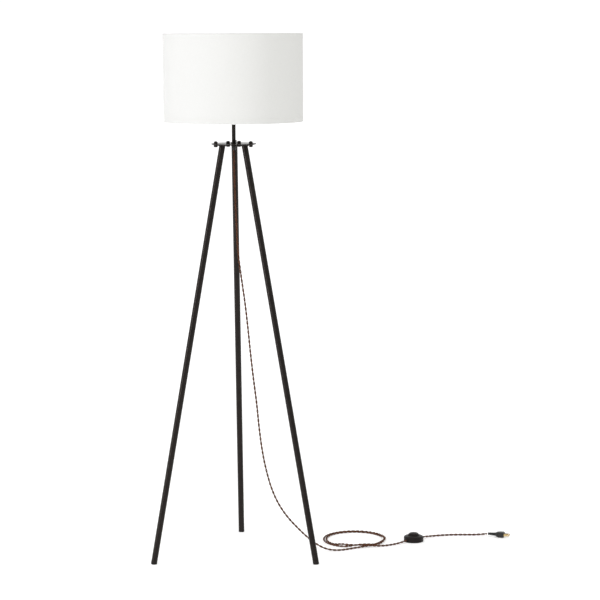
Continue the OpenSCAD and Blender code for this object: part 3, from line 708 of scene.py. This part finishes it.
def make_saddle(prong_x):
    """Strip bent up at its two ends, with a round prong on each for the harp's sleeves."""
    low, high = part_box("harp_saddle")
    thick, bend = 1.2 * MM, 2.6 * MM
    half_w = (high.y - low.y) / 2
    side_x = high.x - thick / 2
    top_z = low.z + 8 * MM
    path = fillet([(-side_x, top_z, 0), (-side_x, low.z + thick / 2, bend),
                   (side_x, low.z + thick / 2, bend), (side_x, top_z, 0)], closed=False, steps=8)
    line = [Vector((x, 0, z)) for x, z in path]
    rings = []
    for i, point in enumerate(line):
        tangent = (line[min(i + 1, len(line) - 1)] - line[max(i - 1, 0)]).normalized()
        across = Vector((-tangent.z, 0, tangent.x))
        fade = 0.55 + 0.45 * smooth(top_z - point.z, 0, 7 * MM)
        section = fillet([(y * half_w * fade, n * thick / 2, 0.4 * MM)
                          for y, n in ((-1, -1), (1, -1), (1, 1), (-1, 1))], steps=3)
        rings.append([point + y * Vector((0, 1, 0)) + n * across for y, n in section])
    shapes = [lofted(rings)]
    sunk, prong_r = 1 * MM, 1.5 * MM
    prong_h = high.z - top_z + sunk
    prong = fillet([(0, 0, 0), (prong_r, 0, 0), (prong_r, prong_h, 0.8 * MM), (0, prong_h, 0)],
                   closed=False)
    for side in (-1, 1):
        shapes.append(moved(turned(prong, 24), shift(side * prong_x, 0, top_z - sunk)))
    piece("harp_saddle_strap", joined(shapes), "brass_plate", replaces=("harp_saddle",))


def make_sleeves(prong_x, outer):
    """Knurled sleeves that lock the harp's ends on the saddle's prongs."""
    low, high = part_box("harp_ferrules")
    inner, height = 1.9 * MM, high.z - low.z

    def sleeve(angle):
        knurl = 0.12 * MM * abs(math.sin(12 * angle))
        return fillet([(inner, 0, 0.3 * MM), (outer, 0, 0.5 * MM), (outer, 3 * MM, 0.3 * MM),
                       (outer - 0.4 * MM - knurl, 3.6 * MM, 0.2 * MM),
                       (outer - 0.4 * MM - knurl, height - 3.6 * MM, 0.2 * MM),
                       (outer, height - 3 * MM, 0.3 * MM), (outer, height, 0.5 * MM),
                       (inner, height, 0.3 * MM)], steps=3)

    sleeves = [moved(turned(sleeve, 96), shift(side * prong_x, 0, low.z)) for side in (-1, 1)]
    piece("harp_sleeves", joined(sleeves), "brass_plate", replaces=("harp_ferrules",))


def make_stud():
    low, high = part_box("harp_stud")
    seat_z = high.z - STUD_THREAD_H
    flange = fillet([(0, low.z, 0), (3.5 * MM, low.z, 0.5 * MM), (3.5 * MM, low.z + 1.4 * MM, 0.4 * MM),
                     (2.1 * MM, low.z + 1.4 * MM, 0), (2.1 * MM, seat_z - 1.5 * MM, 0),
                     (5.5 * MM, seat_z - 1.5 * MM, 0.4 * MM), (5.5 * MM, seat_z, 0.4 * MM),
                     (3 * MM, seat_z, 0), (0, seat_z, 0)], closed=False)
    rod = threaded(3.175 * MM, 0.45 * MM, 0.94 * MM, high.z - seat_z, 40, 0.8 * MM)
    stud = joined([turned(flange, 48), moved(rod, shift(z=seat_z))])
    piece("harp_swivel_stud", stud, "brass_plate", "stud", ("harp_stud",))


def make_finial():
    low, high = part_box("finial")
    height, bore = (high.z - low.z) / MM, 3.23
    knob = fillet(in_mm(
        (bore, 0, 0.2), (6, 0, 0.6), (6, 2.6, 0.8), (3.8, 3.4, 0.5), (3.8, 4.8, 0.4), (5, 5.2, 0.5),
        (5, 6.8, 0.5), (3.9, 7.4, 0.8), (3.4, 9.4, 1), (5.5, 12, 2.5), (5.5, 17, 3.5),
        (2.5, height, 3), (0, height, 0), (0, 12.2, 0), (bore, 11.8, 0.2)
    ), closed=False, steps=6)
    piece("finial_knob", moved(turned(knob), shift(z=low.z)), "finial_metal", "finial", ("finial",))


def make_harp():
    sleeve_r = 3.5 * MM
    prong_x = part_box("harp_ferrules")[1].x - sleeve_r
    make_saddle(prong_x)
    make_sleeves(prong_x, sleeve_r)
    make_stud()
    make_finial()


def make_socket_cap():
    low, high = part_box("socket_cap")
    r, h, w = high.x, high.z - low.z, 0.8 * MM
    bore = 4.9 * MM
    cap = fillet([
        (bore, 0, 0), (8 * MM, 0, 0.8 * MM), (8 * MM, 4.6 * MM, 1.5 * MM), (r - 3 * MM, 8.4 * MM, 4 * MM),
        (r, 14 * MM, 3 * MM), (r, h - 1.6 * MM, 0.3 * MM), (r + 0.3 * MM, h - 1 * MM, 0.3 * MM),
        (r, h, 0.3 * MM), (r - w, h, 0.2 * MM), (r - w, 14.4 * MM, 2.4 * MM),
        (r - 3 * MM - w, 9.4 * MM, 3.4 * MM), (8 * MM - w, 5.6 * MM, 1 * MM), (bore, 5.4 * MM, 0)
    ])
    piece("socket_base_cap", moved(turned(cap, 96), shift(z=low.z)), "socket_brass",
          replaces=("socket_cap",))


def make_socket_shell():
    """Thin brass shell with three rolled beads and a curled rim."""
    low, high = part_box("socket_shell")
    r, h, w = high.x, high.z - low.z, 0.5 * MM
    beads = [h - 6 * MM, h - 9 * MM, h - 20 * MM]
    rows = 90

    def bulge(z):
        return 0.35 * MM * sum(math.exp(-((z - bead) / (0.7 * MM)) ** 2) for bead in beads)

    outer = [(r + bulge(h * i / rows), h * i / rows) for i in range(rows + 1)]
    inner = [(r - w + bulge(z), z) for _, z in reversed(outer)]
    rim = [(r + 0.35 * MM, h + 0.1 * MM), (r - w / 2, h + 0.35 * MM), (r - w - 0.1 * MM, h + 0.1 * MM)]
    piece("socket_outer_shell", moved(turned(outer + rim + inner, 96), shift(z=low.z)),
          "socket_brass", replaces=("socket_shell",))


def make_thread_shell():
    low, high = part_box("socket_screw_shell")
    tip_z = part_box("bulb_contact")[0].z
    bore, wall = 13.4 * MM, 0.35 * MM
    skin = thread_skin(bore + THREAD_SWING, THREAD_SWING, low.z, high.z, tip_z, wall)
    piece("socket_thread_shell", skin, "socket_brass", replaces=("socket_screw_shell",))


def thread_skin(radius, swing, low_z, high_z, phase_z, wall):
    """Rolled lamp thread: a thin helical skin, or a solid one where wall is 0."""
    pitch = 3.63 * MM
    rows = int((high_z - low_z) / pitch * 12)

    def outline(angle):
        out = []
        for i in range(rows + 1):
            z = low_z + (high_z - low_z) * i / rows
            fade = smooth(z, low_z, low_z + 2 * MM) * smooth(-z, -high_z, -high_z + 2 * MM)
            wave = math.cos(TAU * ((z - phase_z) / pitch - angle / TAU))
            out.append((radius + swing * wave * fade, z))
        if not wall:
            return [(0, low_z)] + out + [(0, high_z)]
        return out + [(r + wall, z) for r, z in reversed(out)]

    return turned(outline, 72)


def make_bulb():
    glass_low, glass_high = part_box("bulb_glass")
    cap_low, cap_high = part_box("bulb_cap")
    tip_low, tip_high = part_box("bulb_contact")
    ball_r = glass_high.x
    ball_z = glass_high.z - ball_r
    neck_r = cap_high.x - 0.9 * MM
    outline = [(0, glass_low.z), (neck_r - 1 * MM, glass_low.z), (neck_r, glass_low.z + 1 * MM)]
    flare = math.radians(-24)
    start = Vector((neck_r, glass_low.z + 3 * MM))
    end = Vector((ball_r * math.cos(flare), ball_z + ball_r * math.sin(flare)))
    lean = Vector((-math.sin(flare), math.cos(flare)))
    grip = (end - start).length * 0.42
    neck_steps, dome_steps = 24, 30
    for i in range(neck_steps + 1):
        t = i / neck_steps
        a, b, c, d = start, start + grip * Vector((0.06, 1)), end - grip * lean, end
        p = a * (1 - t) ** 3 + 3 * b * t * (1 - t) ** 2 + 3 * c * t * t * (1 - t) + d * t ** 3
        outline.append(tuple(p))
    for i in range(1, dome_steps):
        angle = flare + (math.pi / 2 - flare) * i / dome_steps
        outline.append((ball_r * math.cos(angle), ball_z + ball_r * math.sin(angle)))
    outline.append((0, glass_high.z))
    piece("bulb_envelope", turned(outline, 96), "bulb_glass", "bulb", ("bulb_glass",))
    skirt = thread_skin(cap_high.x - THREAD_SWING, THREAD_SWING, cap_low.z, cap_high.z, tip_low.z, 0)
    piece("bulb_screw_cap", skirt, "bulb_metal", "bulb", ("bulb_cap",))
    r, h = tip_high.x / MM, (tip_high.z - tip_low.z) / MM
    tip = fillet(in_mm((0, h, 0), (r - 0.2, h, 0.3), (5.5, 1.1, 1), (4.6, 0.9, 0.3), (4, 0.2, 0.8),
                       (2, 0, 1), (0, 0, 0)), closed=False)
    piece("bulb_tip", moved(turned(tip, 64), shift(z=tip_low.z)), "phenolic", "bulb",
          ("bulb_contact",))


# ---- shade

def make_shade():
    low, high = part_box("shade_fabric")
    radius, height = high.x, high.z - low.z
    cloth_t = 0.6 * MM
    lap = 12 * MM
    around = TAU * radius + lap
    columns, rows = 264, 20
    seam_angle = math.pi / 2
    verts, faces, uvs = [], [], []
    for layer in (0, 1):
        for i in range(columns + 1):
            run = around * i / columns
            angle = seam_angle + run / radius
            over = smooth(run, TAU * radius - 2 * MM, TAU * radius + 1 * MM) * (cloth_t + 0.05 * MM)
            for j in range(rows + 1):
                z = low.z + height * j / rows
                where = Vector((math.cos(angle), math.sin(angle), 3 * z))
                slack = math.sin(math.pi * j / rows)
                r = radius + 0.10 * MM * slack * noise.noise(5 * where) + over - layer * cloth_t
                verts.append((r * math.cos(angle), r * math.sin(angle), z))
    per_layer = (columns + 1) * (rows + 1)

    def at(layer, i, j):
        return layer * per_layer + i * (rows + 1) + j

    def add(corners):
        faces.append([at(*c) for c in corners])
        uvs.append([(around * i / columns, height * j / rows) for _, i, j in corners])

    for layer in (0, 1):
        for i in range(columns):
            for j in range(rows):
                add([(layer, i, j), (layer, i + 1, j), (layer, i + 1, j + 1), (layer, i, j + 1)])
    for i in range(columns):
        for j in (0, rows):
            add([(0, i, j), (0, i + 1, j), (1, i + 1, j), (1, i, j)])
    for j in range(rows):
        for i in (0, columns):
            add([(0, i, j), (0, i, j + 1), (1, i, j + 1), (1, i, j)])
    cloth = piece("shade_cloth", (verts, faces, uvs), "shade_linen", "shade", ("shade_fabric",), 40)
    for rim, side in (("top", 1), ("bottom", -1)):
        make_rim_tape(rim, side)


def make_rim_tape(rim, side):
    """Cloth tape folded over a rim and rolled round its ring, drawn for the top rim."""
    low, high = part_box(f"shade_{rim}_trim")
    rim_z = high.z if side > 0 else low.z
    ring_low, ring_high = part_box(f"shade_{rim}_ring")
    radius, tape, width = high.x, 0.4 * MM, high.z - low.z
    wire_z = (ring_low.z + ring_high.z) / 2
    depth = abs(rim_z - wire_z)
    wire_r = ring_high.x - 1.6 * MM
    roll = depth - tape / 2
    line = [(radius - tape / 2, -width), (radius - tape / 2, -width * 0.7),
            (radius - tape / 2 - 0.05 * MM, -width * 0.45), (radius - tape * 0.9, -5.2 * MM),
            (radius - tape * 0.85, -4.6 * MM)]
    outer = radius + 0.15 * MM
    line += [(outer - tape / 2, -3.6 * MM), (outer - tape / 2 + 0.1 * MM, -2.4 * MM),
             (outer - 0.9 * MM, -0.7 * MM), (outer - 2 * MM, -tape / 2)]
    for i in range(9):
        angle = math.radians(90 + 22 * i)
        line.append((wire_r + roll * math.cos(angle), -depth + roll * math.sin(angle)))
    path = [Vector((r, z)) for r, z in line]
    both = []
    for sign in (1, -1):
        edge = []
        for i, p in enumerate(path):
            t = (path[min(i + 1, len(path) - 1)] - path[max(i - 1, 0)]).normalized()
            edge.append(p + sign * tape / 2 * Vector((t.y, -t.x)))
        both.append(edge)
    outline = [(p.x, rim_z + side * p.y) for p in both[0] + both[1][::-1]]
    segments = 264
    verts, faces = turned(outline, segments)
    run = [0.0]
    for a, b in zip(outline, outline[1:]):
        run.append(run[-1] + math.dist(a, b))
    count = len(outline)
    uvs = []
    for n in range(len(faces)):
        i, k = divmod(n, segments)
        left, right = TAU * radius * k / segments, TAU * radius * (k + 1) / segments
        top = run[i + 1] if i + 1 < count else run[i] + tape
        uvs.append([(left, run[i]), (right, run[i]), (right, top), (left, top)])
    made = piece(f"shade_{rim}_tape", (verts, faces, uvs), "shade_tape", "shade",
                 (f"shade_{rim}_trim",), 50)


# ---- foot switch and plug

def switch_place():
    low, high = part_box("switch_cover")
    return shift((low.x + high.x) / 2, (low.y + high.y) / 2) @ spin(SWITCH_TURN)


def make_switch_cover():
    """Round housing with a raised collar round the button and a cord nozzle on each side."""
    low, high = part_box("switch_cover")
    place = switch_place()
    r, base_z, top_z = (high.x - low.x) / 2, low.z, high.z
    cap_r, wall = BUTTON_R, 2 * MM
    mouth = cap_r + 0.45 * MM
    cover = fillet([
        (r - wall, base_z, 0.3 * MM), (r - 0.3 * MM, base_z, 0.5 * MM), (r, 2.4 * MM, 0.4 * MM),
        (r, 15.4 * MM, 5.5 * MM), (r - 6 * MM, 18 * MM, 5 * MM),
        (cap_r + 4.2 * MM, 18.5 * MM, 0.8 * MM), (cap_r + 3.4 * MM, top_z, 0.9 * MM),
        (mouth, top_z, 0.6 * MM), (mouth, top_z - wall, 0), (cap_r + 3 * MM, top_z - wall, 0),
        (r - 9 * MM, 15 * MM, 3 * MM), (r - 4.6 * MM, 12 * MM, 4 * MM), (r - wall, 7 * MM, 3 * MM)
    ])
    shapes = [moved(turned(cover, 96), place)]
    nozzle = fillet(in_mm((3.3, 0, 0), (6, 0, 0), (4.6, 4.6, 0.8), (3.3, 4.6, 0.5)))
    for turn in (0, 180):
        along = place @ spin(turn) @ shift(r - 2.4 * MM, 0, 7 * MM) @ spin(90, "Y")
        shapes.append(moved(turned(nozzle, 40), along))
    return piece("switch_housing", joined(shapes), "switch_plastic", replaces=("switch_cover",))


def make_switch_button():
    """Domed button with a groove round its crown and a flange that the cover holds in."""
    low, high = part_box("switch_button")
    flange_r, flange_z = 16.4 * MM, low.z + 1.5 * MM
    crown, cap_r = high.z, BUTTON_R
    button = fillet([
        (0, low.z, 0), (flange_r, low.z, 0.3 * MM), (flange_r, flange_z, 0.3 * MM), (cap_r, flange_z, 0),
        (cap_r, crown - 4.2 * MM, 1.6 * MM), (cap_r - 2.2 * MM, crown - 2.4 * MM, 1.2 * MM),
        (cap_r - 4.2 * MM, crown - 1.6 * MM, 0.8 * MM), (cap_r - 4.9 * MM, crown - 1.9 * MM, 0.5 * MM),
        (cap_r - 5.6 * MM, crown - 1.2 * MM, 0.8 * MM), (4 * MM, crown - 0.1 * MM, 12 * MM),
        (0, crown, 0)
    ], closed=False)
    piece("switch_push_button", moved(turned(button, 96), switch_place()),
          "button_plastic", "button", ("switch_button",))


def make_plug():
    """Shell, strain relief and pins, along +X from the end of the strain relief."""
    low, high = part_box("plug_body")
    relief_len = 24 * MM
    turn = spin(PLUG_TURN)
    start = Vector(TAIL_ROUTE[-1]) + relief_len * (turn @ Vector((1, 0, 0)))
    place = shift(start.x, start.y, (low.z + high.z) / 2) @ turn
    shell_len = 26 * MM
    body = make_plug_shell(place, (high.z - low.z) / 2)
    relief = make_relief(place, relief_len)
    pins = [moved(blade(), place @ shift(shell_len - 1 * MM, side * 6.35 * MM)) for side in (-1, 1)]
    pins = piece("plug_pins", joined(pins), "blade_brass", replaces=("plug_blades",))
    return [body, relief, pins]


def make_plug_shell(place, half_h):
    """Sections along the shell, as (mm along it, share of its width, share of its height)."""
    half_w = 14 * MM
    stations = [(0, 0.36, 0.60), (0.6, 0.42, 0.66), (3, 0.55, 0.80), (6, 0.74, 0.9)]
    stations += [(6.5 + 0.5 * i, 0.78 + 0.016 * i - (0.035 if i % 3 == 1 else 0),
                  0.92 + 0.005 * i - (0.045 if i % 3 == 1 else 0)) for i in range(13)]
    stations += [(14, 0.98, 0.99), (18, 1, 1), (23.5, 1, 1), (24.6, 0.985, 0.975), (25.5, 0.95, 0.93),
                 (26, 0.9, 0.87)]
    rings = []
    for x, wide, tall in stations:
        ring = []
        for k in range(64):
            angle = TAU * k / 64
            c, s = math.cos(angle), math.sin(angle)
            ring.append((x * MM, half_w * wide * math.copysign(abs(c) ** 0.55, c),
                         half_h * tall * math.copysign(abs(s) ** 0.55, s)))
        rings.append(ring)
    return piece("plug_shell", moved(lofted(rings), place), "plug_plastic", replaces=("plug_body",))


def make_relief(place, length):
    """Tapered sleeve of seven ribs that keeps the cord from kinking at the plug."""
    ribs = [(3.25 * MM, 0.3 * MM), (3.9 * MM, 0)]
    for i in range(7):
        z = (1.4 + 3 * i) * MM
        r = (3.9 + 0.19 * i) * MM
        ribs += [(r, z), (r, z + 1.5 * MM), (r - 0.55 * MM, z + 1.8 * MM), (r - 0.55 * MM, z + 2.6 * MM)]
    ribs += [(5.2 * MM, 22.4 * MM), (5.8 * MM, length + 0.8 * MM), (3.25 * MM, length + 0.8 * MM)]
    sleeve = turned(fillet([(r, z, 0.25 * MM) for r, z in ribs], steps=2), 48)
    return piece("plug_strain_relief", moved(sleeve, place @ shift(-length) @ spin(90, "Y")),
                 "plug_plastic", replaces=("plug_relief",))


def blade():
    """Flat pin along +X with a chamfered tip and a round hole through it."""
    length, width, thick = 18 * MM, 6.3 * MM, 1.5 * MM
    hole_x, hole_r = 14 * MM, 1.6 * MM
    edge = fillet([(0, -width / 2, 0), (length, -width / 2, 1.4 * MM), (length, width / 2, 1.4 * MM),
                   (0, width / 2, 0)], steps=6)
    edge = [Vector(p) for p in edge]
    outer = []
    for a, b in zip(edge, edge[1:] + edge[:1]):
        count = max(1, int((b - a).length / (1.2 * MM)))
        outer += [a + (b - a) * k / count for k in range(count)]
    middle = Vector((hole_x, 0))
    inner = [middle + (p - middle).normalized() * hole_r for p in outer]
    bevel = 0.25 * MM
    layers = []
    for points, grow, y in (
        (inner, 0, -thick / 2), (outer, -bevel, -thick / 2), (outer, 0, -thick / 2 + bevel),
        (outer, 0, thick / 2 - bevel), (outer, -bevel, thick / 2), (inner, 0, thick / 2),
    ):
        ring = [p + grow * (p - middle).normalized() for p in points]
        layers.append([(p.x, y, p.y) for p in ring])
    return [v for layer in layers for v in layer], skin_between(len(layers), len(outer), loop=True)


# ---- studio

def make_world():
    """White all round, dimmer on the side that the camera looks from."""
    world = bpy.data.worlds.new("studio")
    world.use_nodes = True
    nodes, links = world.node_tree.nodes, world.node_tree.links
    facing = nodes.new("ShaderNodeTexCoord")
    parts = nodes.new("ShaderNodeSeparateXYZ")
    fade = nodes.new("ShaderNodeMapRange")
    for key, value in (("From Min", -0.9), ("From Max", 0.5), ("To Min", 0.5), ("To Max", 1.04)):
        fade.inputs[key].default_value = value
    links.new(facing.outputs["Generated"], parts.inputs[0])
    links.new(parts.outputs["Y"], fade.inputs["Value"])
    links.new(fade.outputs[0], nodes["Background"].inputs["Strength"])
    nodes["Background"].inputs["Color"].default_value = (1, 1, 1, 1)
    bpy.context.scene.world = world
    bpy.context.scene.view_settings.view_transform = "Standard"


def make_floor():
    """Pale sheet that glows a little, more so further back."""
    half = 40
    mesh = bpy.data.meshes.new("floor")
    mesh.from_pydata([(-half, -half, 0), (half, -half, 0), (half, half, 0), (-half, half, 0)], [],
                     [(0, 1, 2, 3)])
    floor = bpy.data.objects.new("floor", mesh)
    bpy.context.scene.collection.objects.link(floor)
    look = Look("floor", Specular_IOR_Level=0.1, Emission_Color=(1, 1, 1))
    back = look.split(look.place())[1]
    glow = look.ramp(look.math("MULTIPLY", back, 0.1), (0.0, 0.26), (0.5, 0.45))
    look.set(look.shader, "Emission Strength", glow)
    pale = look.ramp(look.noise(3, 3), (0.3, (0.88, 0.88, 0.88)), (0.7, (0.90, 0.90, 0.90)))
    mesh.materials.append(look.finish(pale, 0.8))


def make_lights():
    """Soft boxes that face the lamp: name, place, width, height, watts and colour."""
    for name, place, wide, tall, power, colour in (
        ("key", (-3.8, -2.8, 1.6), 0.6, 3.0, 68, (1, 1, 1)),
        ("front", (-0.5, -6.4, 4.6), 3.0, 2.0, 136, (1, 1, 1)),
        ("fill", (3.8, -2.4, 3.4), 2.0, 2.0, 16, (1, 1, 0.72)),
    ):
        data = bpy.data.lights.new(name, "AREA")
        data.shape = "RECTANGLE"
        data.size = wide
        data.size_y = tall
        data.energy = power
        data.color = colour
        light = bpy.data.objects.new(name, data)
        aim = (Vector((0, 0, 1)) - Vector(place)).to_track_quat("-Z", "Y")
        light.matrix_world = shift(*place) @ aim.to_matrix().to_4x4()
        bpy.context.scene.collection.objects.link(light)


# ---- build

make_camera()
looks = make_looks()
cord, cord_line = make_main_cord()
tail, tail_line = twisted_pair("cord_to_plug", relaxed(routed(TAIL_ROUTE)), replaces=("cord_tail",))
make_stem_cord()
make_hub()
for leg_name, leg_angle in LEG_ANGLES.items():
    make_leg(leg_name, leg_angle)
make_stem()
make_harp()
make_socket_cap()
make_socket_shell()
make_thread_shell()
make_bulb()
make_shade()
housing = make_switch_cover()
make_switch_button()
plug_pieces = make_plug()

KEPT = {
    "hub_plate": "blackened_metal", "leg_flange_back": "blackened_metal",
    "leg_flange_left": "blackened_metal", "leg_flange_right": "blackened_metal",
    "foot_cap_back": "foot_rubber", "foot_cap_left": "foot_rubber", "foot_cap_right": "foot_rubber",
    "stem_nipple": "blackened_fastener", "cord_bushing": "black_plastic", "harp_wire": "brass_plate",
    "socket_insulator": "fibre_board", "socket_body": "phenolic", "socket_contact": "socket_brass",
    "shade_liner": "shade_styrene", "shade_top_ring": "zinc_steel", "shade_bottom_ring": "zinc_steel",
    "shade_spider": "zinc_steel", "switch_base": "switch_plastic", "switch_spring": "zinc_steel",
    "switch_block": "block_plastic", "switch_clamps": "black_plastic", "switch_screws": "zinc_steel",
    "switch_pads": "pad_rubber",
}
for node, look in KEPT.items():
    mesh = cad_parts[node].data
    mesh.materials.clear()
    mesh.materials.append(looks[look])

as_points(cord_line)
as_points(tail_line)
make_world()
make_floor()
make_lights()
